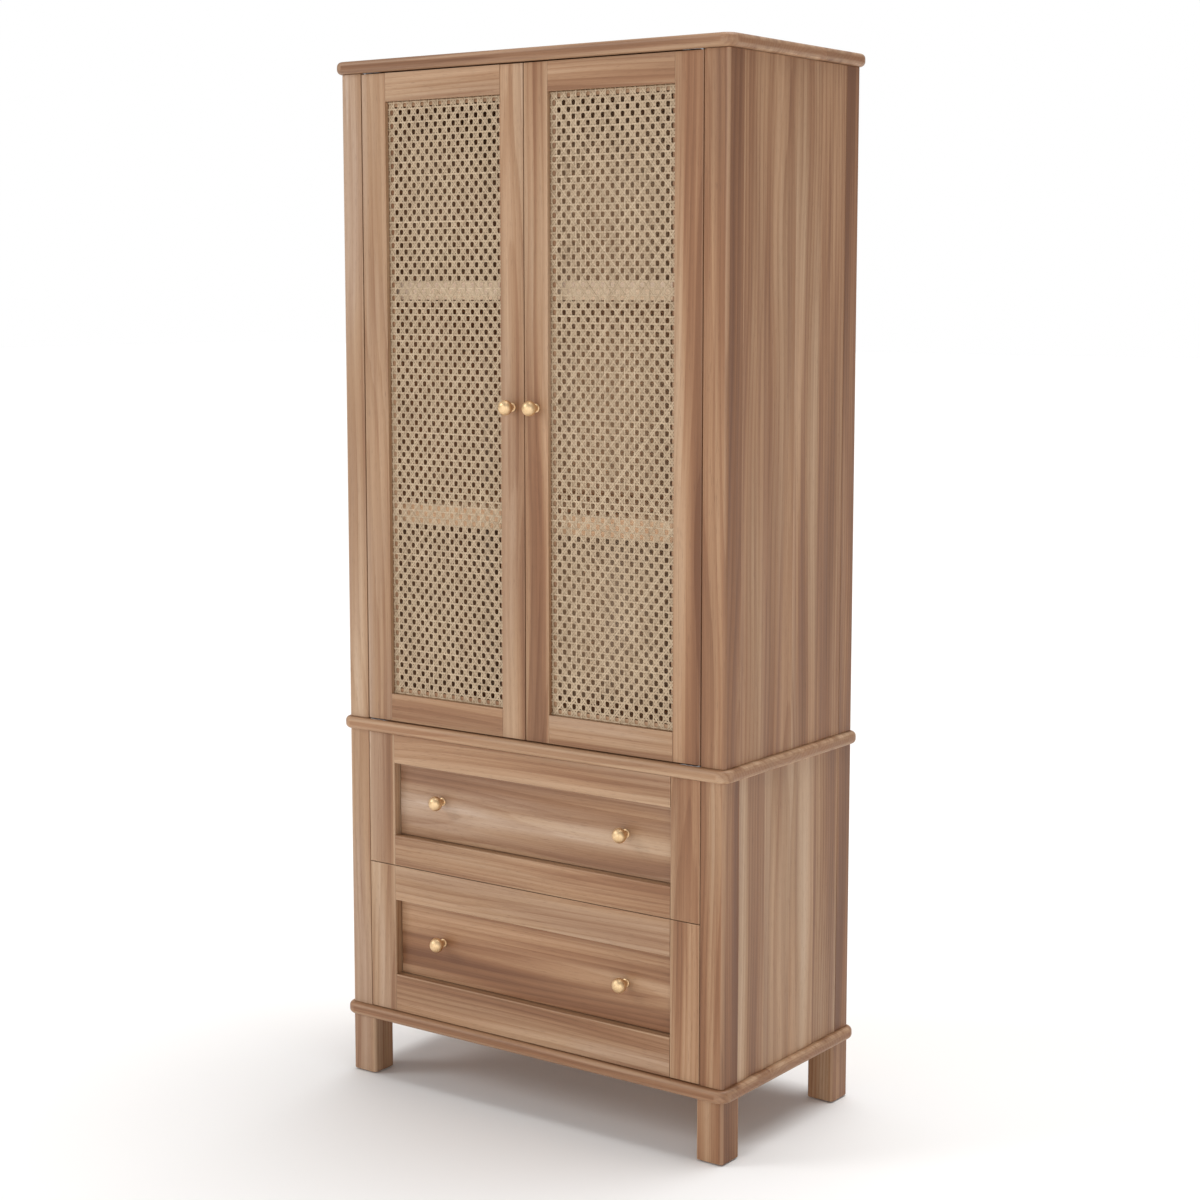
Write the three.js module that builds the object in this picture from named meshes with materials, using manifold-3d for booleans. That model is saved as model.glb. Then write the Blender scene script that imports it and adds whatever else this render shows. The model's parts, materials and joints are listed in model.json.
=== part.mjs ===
// Two-part armoire: cane doors above, two drawers below, on four square legs.
// Millimetres, +Z up. The front faces -Y, the width runs along X, and the origin is the middle of
// the bounding box on the floor.

import * as THREE from 'three';
import { mergeVertices } from 'three/addons/utils/BufferGeometryUtils.js';
import Module from 'manifold-3d';

// ---------- driving dimensions ----------

const overallWidth = 800;
const overhang = 11; // how far the three boards stand proud of the carcass, on every side
const carcassDepth = 396;

const legHeight = 104;
const boardThickness = 21;
const lowerHeight = 493;
const upperHeight = 1098;

const noseRadius = 8;
const boardCornerRadius = 22;

const legSize = 50;
const legCornerRadius = 4;
const postSize = 44;
const postCornerRadius = 6;
const easedEdge = 1.5;

const sidePanelThickness = 20;
const sidePanelSetback = 0.5;
const backPanelThickness = 8;
const backPanelSetback = 8;

const doorThickness = 20;
const doorHingeStile = 52;
const doorMeetingStile = 47;
const doorRail = 47;
const doorReveal = 1.8; // gap round each door
const caneThickness = 3;
const caneSetback = 6;

const pivotInset = 5; // pivot axis from the door's face and from its hinge edge
const pivotPinRadius = 2.5;
const pivotHoleRadius = 2.85;
const pivotPinLength = 9;
const pivotHoleDepth = 8;
const pivotPlateWidth = 40;
const pivotPlateDepth = 11;
const pivotPlateThickness = 2.4;

const shelfThickness = 32;
const shelfSetback = 24;

const catchWidth = 56;
const catchDepth = 14;
const catchHeight = 12;

const drawerFrontThickness = 22;
const drawerReveal = 1.2; // gap round each drawer front
const drawerStile = 56;
const drawerPanelSetback = 15;
const upperDrawer = { name: 'upper_drawer', height: 230, topRail: 50, bottomRail: 52, knobRise: 6 };
const lowerDrawer = { name: 'lower_drawer', topRail: 61, bottomRail: 65, knobRise: 3 };

const drawerSideThickness = 14;
const drawerSideSetback = 8.5; // from the posts' inner faces to the drawer sides
const drawerBackThickness = 12;
const drawerBottomThickness = 6;
const drawerBottomRaise = 10;
const drawerBoxLength = 330;
const drawerBoxClearance = 16; // above and below the drawer box, inside its front's height
const runnerHeight = 18;
const runnerWidth = 14;
const runnerClearance = 0.6;
const grooveDepth = 7;

const knobRadius = 13;
const knobProjection = 30;
const knobHeightOnDoors = 1188;
const drawerKnobSpacing = 384;

const gap = 0.3; // between pieces that touch

// ---------- positions worked out from them ----------

const carcassWidth = overallWidth - 2 * overhang;
const frontY = (knobProjection - carcassDepth - overhang) / 2;
const backY = frontY + carcassDepth;
const outerX = carcassWidth / 2;
const openingX = outerX - postSize;

const baseBottom = legHeight;
const baseTop = baseBottom + boardThickness;
const waistBottom = baseTop + lowerHeight;
const waistTop = waistBottom + boardThickness;
const corniceBottom = waistTop + upperHeight;
const corniceTop = corniceBottom + boardThickness;

const doorBottom = waistTop + doorReveal;
const doorTop = corniceBottom - doorReveal;
const pivotX = openingX - doorReveal - pivotInset;
const pivotY = frontY + pivotInset;

const frontPostBackY = frontY + postSize;
const rearPostFrontY = backY - postSize;
const backPanelFrontY = backY - backPanelSetback - backPanelThickness;

// ---------- materials ----------

const finish = (color, roughness, metalness = 0) =>
  new THREE.MeshStandardMaterial({ color, roughness, metalness });

const wood = finish(0xa7866a, 0.55);
const innerWood = finish(0xb99b7c, 0.65);
const backWood = finish(0x9a7a5e, 0.7);
const cane = finish(0xb79e7c, 0.6);
const brass = finish(0xd3ad78, 0.3, 1);
const steel = finish(0x9b9a96, 0.35, 1);
const plastic = finish(0x5a4636, 0.6);

// ---------- geometry helpers ----------

const armoire = new THREE.Group();

function addPiece(name, geometry, material) {
  const mesh = new THREE.Mesh(geometry, material);
  mesh.name = name;
  armoire.add(mesh);
}

// A plain block between two corners.
function block([x0, x1], [y0, y1], [z0, z1]) {
  const geometry = new THREE.BoxGeometry(x1 - x0, y1 - y0, z1 - z0);
  return geometry.translate((x0 + x1) / 2, (y0 + y1) / 2, (z0 + z1) / 2);
}

// The same span on the left (side = -1) or on the right (side = 1) of the centre plane.
function mirrored(side, near, far) {
  return side > 0 ? [near, far] : [-far, -near];
}

// A rectangle whose corners are rounded, counter-clockwise from the lower left one.
function roundedRectangle([x0, x1], [y0, y1], radii) {
  const [lowerLeft, lowerRight, upperRight, upperLeft] = radii;
  const quarter = Math.PI / 2;
  const shape = new THREE.Shape();
  shape.absarc(x0 + lowerLeft, y0 + lowerLeft, lowerLeft, 2 * quarter, 3 * quarter);
  shape.absarc(x1 - lowerRight, y0 + lowerRight, lowerRight, 3 * quarter, 4 * quarter);
  shape.absarc(x1 - upperRight, y1 - upperRight, upperRight, 0, quarter);
  shape.absarc(x0 + upperLeft, y1 - upperLeft, upperLeft, quarter, 2 * quarter);
  return shape;
}

// A shape drawn in plan, standing between two heights.
function standing(shape, [z0, z1]) {
  const options = { depth: z1 - z0, bevelEnabled: false, curveSegments: 3 };
  return new THREE.ExtrudeGeometry(shape, options).translate(0, 0, z0);
}

// A shape drawn on the front elevation (its y is the model's Z), reaching from front to back.
function facing(shape, [y0, y1]) {
  const options = { depth: y1 - y0, bevelEnabled: false };
  return new THREE.ExtrudeGeometry(shape, options).rotateX(Math.PI / 2).translate(0, y1, 0);
}

// A board with a rounded nose on all four sides.
function nosedBoard(z0) {
  const x = overallWidth / 2;
  const corners = Array(4).fill(boardCornerRadius);
  const outline = roundedRectangle([-x, x], [frontY - overhang, backY + overhang], corners);
  const options = {
    depth: boardThickness - 2 * noseRadius,
    bevelThickness: noseRadius,
    bevelSize: noseRadius,
    bevelOffset: -noseRadius,
    bevelSegments: 4,
    curveSegments: 4,
  };
  return new THREE.ExtrudeGeometry(outline, options).translate(0, 0, z0 + noseRadius);
}

function uprightCylinder(radius, [x, y], [z0, z1]) {
  const geometry = new THREE.CylinderGeometry(radius, radius, z1 - z0, 20);
  return geometry.rotateX(Math.PI / 2).translate(x, y, (z0 + z1) / 2);
}

// ---------- joins and cuts ----------

const wasm = await Module();
wasm.setup();

function toSolid(geometry) {
  const bare = geometry.clone();
  bare.deleteAttribute('normal');
  bare.deleteAttribute('uv');
  const merged = mergeVertices(bare, 1e-4);
  const vertProperties = new Float32Array(merged.attributes.position.array);
  const triVerts = new Uint32Array(merged.index.array);
  return new wasm.Manifold(new wasm.Mesh({ numProp: 3, vertProperties, triVerts }));
}

function toGeometry(solid) {
  const mesh = solid.getMesh();
  const geometry = new THREE.BufferGeometry();
  geometry.setAttribute('position', new THREE.BufferAttribute(mesh.vertProperties, 3));
  geometry.setIndex(new THREE.BufferAttribute(mesh.triVerts, 1));
  geometry.computeVertexNormals();
  return geometry;
}

function cut(geometry, tools) {
  return toGeometry(tools.reduce((solid, tool) => solid.subtract(toSolid(tool)), toSolid(geometry)));
}

function join(first, second) {
  return toGeometry(toSolid(first).add(toSolid(second)));
}

// ---------- boards, with mortises for the pivot plates ----------

const pivotPlateSpanX = [pivotX - pivotPlateWidth + pivotInset, pivotX + pivotInset];
const pivotPlateSpanY = [pivotY - pivotPlateDepth / 2, pivotY + pivotPlateDepth / 2];

function widened([low, high], by) {
  return [low - by, high + by];
}

function pivotMortises([z0, z1]) {
  return [-1, 1].map((side) =>
    block(mirrored(side, ...widened(pivotPlateSpanX, gap)), widened(pivotPlateSpanY, gap), [z0, z1]));
}

function addBoards() {
  const mortiseDepth = pivotPlateThickness + gap;
  const past = 1;
  addPiece('base_board', nosedBoard(baseBottom), wood);
  addPiece('waist_board', cut(nosedBoard(waistBottom),
    pivotMortises([waistTop - mortiseDepth, waistTop + past])), wood);
  addPiece('cornice_board', cut(nosedBoard(corniceBottom),
    pivotMortises([corniceBottom - past, corniceBottom + mortiseDepth])), wood);
}

// ---------- legs and posts ----------

// A square upright in one corner of the carcass, with its outer corner rounded more than the rest.
function cornerUpright(side, isFront, size, outerRadius, heights) {
  const spanX = mirrored(side, outerX - size, outerX);
  const spanY = isFront ? [frontY, frontY + size] : [backY - size, backY];
  const radii = Array(4).fill(easedEdge);
  const outerCorner = isFront ? (side < 0 ? 0 : 1) : (side < 0 ? 3 : 2);
  radii[outerCorner] = outerRadius;
  return standing(roundedRectangle(spanX, spanY, radii), heights);
}

function addUprights() {
  for (const [end, isFront] of [['front', true], ['rear', false]]) {
    for (const [hand, side] of [['left', -1], ['right', 1]]) {
      const place = `${end}_${hand}`;
      addPiece(`leg_${place}`,
        cornerUpright(side, isFront, legSize, legCornerRadius, [0, baseBottom - gap]), wood);
      addPiece(`lower_post_${place}`,
        cornerUpright(side, isFront, postSize, postCornerRadius, [baseTop + gap, waistBottom - gap]), wood);
      addPiece(`upper_post_${place}`,
        cornerUpright(side, isFront, postSize, postCornerRadius, [waistTop + gap, corniceBottom - gap]), wood);
    }
  }
}

// ---------- side and back panels, shelves ----------

const storeys = [
  { name: 'lower', heights: [baseTop + gap, waistBottom - gap] },
  { name: 'upper', heights: [waistTop + gap, corniceBottom - gap] },
];

const sidePanelOuterX = outerX - sidePanelSetback;
const sidePanelInnerX = sidePanelOuterX - sidePanelThickness;

function addPanels() {
  for (const { name, heights } of storeys) {
    for (const [hand, side] of [['left', -1], ['right', 1]]) {
      const spanX = mirrored(side, sidePanelInnerX, sidePanelOuterX);
      const spanY = [frontPostBackY + gap, rearPostFrontY - gap];
      addPiece(`${name}_side_panel_${hand}`, block(spanX, spanY, heights), wood);
    }
    const spanX = [-openingX + gap, openingX - gap];
    const spanY = [backPanelFrontY, backPanelFrontY + backPanelThickness];
    addPiece(`${name}_back_panel`, block(spanX, spanY, heights), backWood);
  }
}

// A shelf from side panel to side panel, notched round the four posts.
function shelfOutline() {
  const wide = sidePanelInnerX - gap;
  const narrow = openingX - gap;
  const front = frontY + shelfSetback;
  const frontNotch = frontPostBackY + gap;
  const rearNotch = rearPostFrontY - gap;
  const rear = backPanelFrontY - gap;
  const rightHalf = [
    [narrow, front], [narrow, frontNotch], [wide, frontNotch],
    [wide, rearNotch], [narrow, rearNotch], [narrow, rear],
  ];
  const leftHalf = rightHalf.map(([x, y]) => [-x, y]).reverse();
  return new THREE.Shape([...rightHalf, ...leftHalf].map(([x, y]) => new THREE.Vector2(x, y)));
}

function addShelves() {
  const bayHeight = (upperHeight - 2 * shelfThickness) / 3;
  for (const [index, name] of ['lower_shelf', 'upper_shelf'].entries()) {
    const bottom = waistTop + bayHeight * (index + 1) + shelfThickness * index;
    addPiece(name, standing(shelfOutline(), [bottom, bottom + shelfThickness]), innerWood);
  }
}

// ---------- door pivots and catch ----------

// A plate let into a board, with the pin that the door turns on.
function addPivots() {
  for (const [hand, side] of [['left', -1], ['right', 1]]) {
    const centre = [side * pivotX, pivotY];
    const spanX = mirrored(side, ...pivotPlateSpanX);
    const lowerPlate = block(spanX, pivotPlateSpanY, [waistTop - pivotPlateThickness, waistTop]);
    const lowerPin = uprightCylinder(pivotPinRadius, centre, [waistTop - 1, waistTop + pivotPinLength]);
    const upperPlate = block(spanX, pivotPlateSpanY, [corniceBottom, corniceBottom + pivotPlateThickness]);
    const upperPin = uprightCylinder(pivotPinRadius, centre,
      [corniceBottom - pivotPinLength, corniceBottom + 1]);
    addPiece(`lower_pivot_${hand}`, join(lowerPlate, lowerPin), steel);
    addPiece(`upper_pivot_${hand}`, join(upperPlate, upperPin), steel);
  }
}

function addCatch() {
  const front = frontY + doorThickness + gap;
  const top = corniceBottom - gap;
  const spanX = [-catchWidth / 2, catchWidth / 2];
  addPiece('door_catch', block(spanX, [front, front + catchDepth], [top - catchHeight, top]), plastic);
}

// ---------- knobs ----------

// A small mushroom knob: a foot ring, a waisted neck and a domed cap, turned about the Y axis.
function knob(x, faceY, z) {
  const capStart = 0.42 * knobProjection;
  const capDepth = knobProjection - capStart - gap;
  const profile = [[0, 0], [8, 0], [8, 1.6], [5, 3.4], [4.6, 0.28 * knobProjection]];
  const capSteps = 9;
  for (let step = 0; step <= capSteps; step += 1) {
    const angle = Math.PI * (step / capSteps - 0.5);
    const radius = knobRadius * Math.cos(angle);
    const height = capStart + capDepth * (0.5 + 0.5 * Math.sin(angle));
    if (step === capSteps) profile.push([0, height]);
    else if (radius > 5) profile.push([radius, height]);
  }
  const points = profile.map(([r, h]) => new THREE.Vector2(r, h));
  const geometry = new THREE.LatheGeometry(points, 18);
  return geometry.rotateX(Math.PI).translate(x, faceY - gap, z);
}

// ---------- doors ----------

function addDoor(hand, side) {
  const faces = [frontY, frontY + doorThickness];
  const heights = [doorBottom, doorTop];
  const hingeEdge = openingX - doorReveal;
  const hingeStileInner = hingeEdge - doorHingeStile;
  const meetingEdge = doorReveal / 2;
  const meetingStileOuter = meetingEdge + doorMeetingStile;
  const eased = Array(4).fill(easedEdge);

  const hingeStile = standing(
    roundedRectangle(mirrored(side, hingeStileInner, hingeEdge), faces, eased), heights);
  const centre = [side * pivotX, pivotY];
  const pinSockets = [
    uprightCylinder(pivotHoleRadius, centre, [doorBottom - 1, doorBottom + pivotHoleDepth]),
    uprightCylinder(pivotHoleRadius, centre, [doorTop - pivotHoleDepth, doorTop + 1]),
  ];
  addPiece(`${hand}_door_hinge_stile`, cut(hingeStile, pinSockets), wood);

  const meetingStile = standing(
    roundedRectangle(mirrored(side, meetingEdge, meetingStileOuter), faces, eased), heights);
  addPiece(`${hand}_door_meeting_stile`, meetingStile, wood);

  const between = mirrored(side, meetingStileOuter + gap, hingeStileInner - gap);
  addPiece(`${hand}_door_top_rail`, block(between, faces, [doorTop - doorRail, doorTop]), wood);
  addPiece(`${hand}_door_bottom_rail`, block(between, faces, [doorBottom, doorBottom + doorRail]), wood);

  const caneY = frontY + caneSetback;
  const caneHeights = [doorBottom + doorRail + gap, doorTop - doorRail - gap];
  addPiece(`${hand}_door_cane_panel`, block(between, [caneY, caneY + caneThickness], caneHeights), cane);

  const knobX = side * (meetingEdge + doorMeetingStile / 2);
  addPiece(`${hand}_door_knob`, knob(knobX, frontY, knobHeightOnDoors), brass);
}

// ---------- drawers ----------

const lowerDrawerBottom = baseTop + drawerReveal;
const upperDrawerTop = waistBottom - drawerReveal;
const upperDrawerBottom = upperDrawerTop - upperDrawer.height;
const lowerDrawerTop = upperDrawerBottom - drawerReveal;

const drawerSideOuterX = openingX - drawerSideSetback;
const drawerSideInnerX = drawerSideOuterX - drawerSideThickness;
const runnerOuterX = openingX - gap;
const runnerInnerX = runnerOuterX - runnerWidth;

function addRunners(name, middle) {
  const spanY = [frontY + drawerFrontThickness + 4, backPanelFrontY - gap];
  const heights = [middle - runnerHeight / 2, middle + runnerHeight / 2];
  for (const [hand, side] of [['left', -1], ['right', 1]]) {
    const spanX = mirrored(side, runnerInnerX, runnerOuterX);
    addPiece(`${name}_runner_${hand}`, block(spanX, spanY, heights), innerWood);
  }
}

function addDrawerBox(name, [bottom, top]) {
  const spanY = [frontY + drawerFrontThickness + gap, frontY + drawerFrontThickness + drawerBoxLength];
  const middle = (bottom + top) / 2;
  const grooveInnerX = drawerSideOuterX - grooveDepth;
  const grooveHeights = widened([middle - runnerHeight / 2, middle + runnerHeight / 2], runnerClearance);
  for (const [hand, side] of [['left', -1], ['right', 1]]) {
    const board = block(mirrored(side, drawerSideInnerX, drawerSideOuterX), spanY, [bottom, top]);
    const grooveSpanX = mirrored(side, grooveInnerX, drawerSideOuterX + 1);
    const groove = block(grooveSpanX, widened(spanY, 1), grooveHeights);
    addPiece(`${name}_side_${hand}`, cut(board, [groove]), innerWood);
  }
  const between = [-drawerSideInnerX + gap, drawerSideInnerX - gap];
  const backStart = spanY[1] - drawerBackThickness;
  addPiece(`${name}_back`, block(between, [backStart, spanY[1]], [bottom, top]), innerWood);
  const floor = bottom + drawerBottomRaise;
  addPiece(`${name}_bottom`,
    block(between, [spanY[0], backStart - gap], [floor, floor + drawerBottomThickness]), innerWood);
}

function addDrawer({ name, topRail, bottomRail, knobRise }, [bottom, top]) {
  const frontX = openingX - drawerReveal;
  const innerX = frontX - drawerStile;
  const recessHeights = [bottom + bottomRail, top - topRail];

  const eased = Array(4).fill(easedEdge);
  const frame = roundedRectangle([-frontX, frontX], [bottom, top], eased);
  const [recessBottom, recessTop] = recessHeights;
  frame.holes.push(new THREE.Path([
    new THREE.Vector2(-innerX, recessBottom), new THREE.Vector2(-innerX, recessTop),
    new THREE.Vector2(innerX, recessTop), new THREE.Vector2(innerX, recessBottom),
  ]));
  addPiece(`${name}_front_frame`, facing(frame, [frontY, frontY + drawerFrontThickness]), wood);

  const panelY = frontY + drawerPanelSetback;
  addPiece(`${name}_front_panel`, block([-innerX + gap, innerX - gap],
    [panelY, frontY + drawerFrontThickness], widened(recessHeights, -gap)), wood);

  const knobZ = (recessBottom + recessTop) / 2 + knobRise;
  addPiece(`${name}_knob_left`, knob(-drawerKnobSpacing / 2, panelY, knobZ), brass);
  addPiece(`${name}_knob_right`, knob(drawerKnobSpacing / 2, panelY, knobZ), brass);

  addDrawerBox(name, [bottom + drawerBoxClearance, top - drawerBoxClearance]);
  addRunners(name, (bottom + top) / 2);
}

// ---------- assembly ----------

addBoards();
addUprights();
addPanels();
addShelves();
addPivots();
addCatch();
addDoor('left', -1);
addDoor('right', 1);
addDrawer(upperDrawer, [upperDrawerBottom, upperDrawerTop]);
addDrawer(lowerDrawer, [lowerDrawerBottom, lowerDrawerTop]);

export default armoire;
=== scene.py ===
"""A two-door armoire with cane panels over two deep drawers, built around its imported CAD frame."""

import json
import math
import random

import bmesh
import bpy
from mathutils import Matrix, Vector

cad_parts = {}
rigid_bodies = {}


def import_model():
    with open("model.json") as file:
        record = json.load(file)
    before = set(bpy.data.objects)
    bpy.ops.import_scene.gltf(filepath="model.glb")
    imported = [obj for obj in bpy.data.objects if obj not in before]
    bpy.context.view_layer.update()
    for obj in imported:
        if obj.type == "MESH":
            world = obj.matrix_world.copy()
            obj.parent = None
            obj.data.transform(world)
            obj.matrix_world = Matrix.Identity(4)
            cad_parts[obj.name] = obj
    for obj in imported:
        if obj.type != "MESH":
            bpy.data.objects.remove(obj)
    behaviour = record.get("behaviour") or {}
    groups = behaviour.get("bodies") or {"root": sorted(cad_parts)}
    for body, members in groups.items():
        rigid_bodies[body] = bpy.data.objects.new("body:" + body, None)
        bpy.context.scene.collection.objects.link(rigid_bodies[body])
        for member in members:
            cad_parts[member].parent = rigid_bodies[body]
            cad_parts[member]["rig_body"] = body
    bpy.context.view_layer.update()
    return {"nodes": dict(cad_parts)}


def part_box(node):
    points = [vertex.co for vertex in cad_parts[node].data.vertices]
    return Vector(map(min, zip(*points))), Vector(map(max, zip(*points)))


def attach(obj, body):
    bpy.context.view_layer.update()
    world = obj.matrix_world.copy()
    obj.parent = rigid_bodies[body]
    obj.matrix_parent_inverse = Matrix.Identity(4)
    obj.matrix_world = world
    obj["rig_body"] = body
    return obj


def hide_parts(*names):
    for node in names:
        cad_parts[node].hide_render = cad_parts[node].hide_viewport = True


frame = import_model()

# ----------------------------------------------------------------------------------------------------
# Sizes, in metres
# ----------------------------------------------------------------------------------------------------

MM = 0.001

# Edges of the timber
EASED = 0.9 * MM
BUTT_EASED = 0.6 * MM
PIVOT_EASED = 1.8 * MM
NOSE = 8 * MM
BOARD_CORNER = 22 * MM
POST_CORNER = 6 * MM
LEG_CORNER = 5 * MM
MOULDED = 2.4 * MM

# Cane: upright and cross strands stand midway between the holes, and pairs of diagonals frame them
HALF_STEP_ACROSS = 9.47 * MM
HALF_STEP_UP = 10.95 * MM
STRAND_WIDTH = 2.5 * MM
STRAND_THICKNESS = 0.8 * MM
PAIR_OFFSET = 1.65 * MM
STRAND_RISE = 0.4 * MM
SHORTEST_STRAND = 4 * MM

# Drawer panels
SHADOW_GAP = 1.5 * MM
PANEL_TONGUE = 3.2 * MM

# Small hardware and trim
GLIDE_HEIGHT = 2 * MM
GLIDE_RADIUS = 15 * MM
BACK_SCREW_RADIUS = 3.6 * MM
BACK_SCREW_INSET = 14 * MM
KNOB_SCREW_RADIUS = 4.2 * MM
PIVOT_SCREW_RADIUS = 2.6 * MM
PIVOT_SCREW_SPACING = 13 * MM
BEAD = 9 * MM
SHELF_PIN_INSET = 45 * MM
SHELF_PIN_RADIUS = 2.5 * MM
PLATE_RISE = 0.25 * MM
PIN_RADIUS = 2.5 * MM
PIVOT_INSET = 5 * MM

# Stage
FLOOR_REACH = 40.0
LIGHT_REACH = 4.0

X, Y, Z = 0, 1, 2
LOW, HIGH = 0, 1


def body_of(node):
    """The CAD body that a node rides on."""
    return frame["nodes"][node]["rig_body"]


def srgb(red, green, blue):
    """A linear colour from 0 to 255 display values."""

    def linear(value):
        value /= 255
        return value / 12.92 if value <= 0.04045 else ((value + 0.055) / 1.055) ** 2.4

    return (linear(red), linear(green), linear(blue), 1.0)


# ----------------------------------------------------------------------------------------------------
# Materials
# ----------------------------------------------------------------------------------------------------


class Graph:
    """A material's node tree, with short calls for the nodes that the finishes share."""

    def __init__(self, name):
        self.material = bpy.data.materials.new(name)
        self.material.use_nodes = True
        self.tree = self.material.node_tree
        self.tree.nodes.clear()
        self.shader = self.tree.nodes.new("ShaderNodeBsdfPrincipled")
        output = self.tree.nodes.new("ShaderNodeOutputMaterial")
        self.join(self.shader.outputs["BSDF"], output.inputs["Surface"])

    def join(self, value, socket):
        if isinstance(value, bpy.types.NodeSocket):
            self.tree.links.new(value, socket)
        else:
            socket.default_value = value

    def attribute(self, name, output="Fac"):
        node = self.tree.nodes.new("ShaderNodeAttribute")
        node.attribute_name = name
        return node.outputs[output]

    def sum(self, operation, first, second=0.0, clamp=False):
        node = self.tree.nodes.new("ShaderNodeMath")
        node.operation = operation
        node.use_clamp = clamp
        self.join(first, node.inputs[0])
        self.join(second, node.inputs[1])
        return node.outputs[0]

    def vector(self, operation, first, second=(0.0, 0.0, 0.0)):
        node = self.tree.nodes.new("ShaderNodeVectorMath")
        node.operation = operation
        self.join(first, node.inputs[0])
        self.join(second, node.inputs[1])
        return node.outputs["Value" if operation == "LENGTH" else "Vector"]

    def part(self, vector, number):
        node = self.tree.nodes.new("ShaderNodeSeparateXYZ")
        self.join(vector, node.inputs[0])
        return node.outputs[number]

    def noise(self, place, stretch, detail=2.0, output="Fac"):
        """Noise whose features are 1 / stretch metres long each way."""
        node = self.tree.nodes.new("ShaderNodeTexNoise")
        node.inputs["Scale"].default_value = 1.0
        node.inputs["Detail"].default_value = detail
        self.join(self.vector("MULTIPLY", place, stretch), node.inputs["Vector"])
        return node.outputs[output]

    def range(self, value, low, high, to_low=0.0, to_high=1.0):
        node = self.tree.nodes.new("ShaderNodeMapRange")
        node.interpolation_type = "SMOOTHSTEP"
        for socket, number in zip(node.inputs[1:5], (low, high, to_low, to_high)):
            socket.default_value = number
        self.join(value, node.inputs[0])
        return node.outputs[0]

    def ramp(self, value, stops):
        node = self.tree.nodes.new("ShaderNodeValToRGB")
        elements = node.color_ramp.elements
        while len(elements) < len(stops):
            elements.new(0.5)
        for element, (place, colour) in zip(elements, stops):
            element.position = place
            element.color = colour
        self.join(value, node.inputs[0])
        return node.outputs["Color"]

    def mix(self, share, first, second, blend="MIX"):
        node = self.tree.nodes.new("ShaderNodeMix")
        node.data_type = "RGBA"
        node.blend_type = blend
        self.join(share, node.inputs["Factor"])
        self.join(first, node.inputs[6])
        self.join(second, node.inputs[7])
        return node.outputs[2]

    def blend(self, share, first, second):
        """One number to another, by a share of 0 to 1."""
        change = self.sum("MULTIPLY", self.sum("SUBTRACT", second, first), share)
        return self.sum("ADD", first, change)

    def bump(self, height, distance, strength=1.0):
        node = self.tree.nodes.new("ShaderNodeBump")
        node.inputs["Distance"].default_value = distance
        node.inputs["Strength"].default_value = strength
        self.join(height, node.inputs["Height"])
        self.join(node.outputs["Normal"], self.shader.inputs["Normal"])

    def set(self, **values):
        """Values for the shader's own sockets; an underscore stands for a space."""
        for name, value in values.items():
            self.join(value, self.shader.inputs[name.replace("_", " ")])


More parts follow.
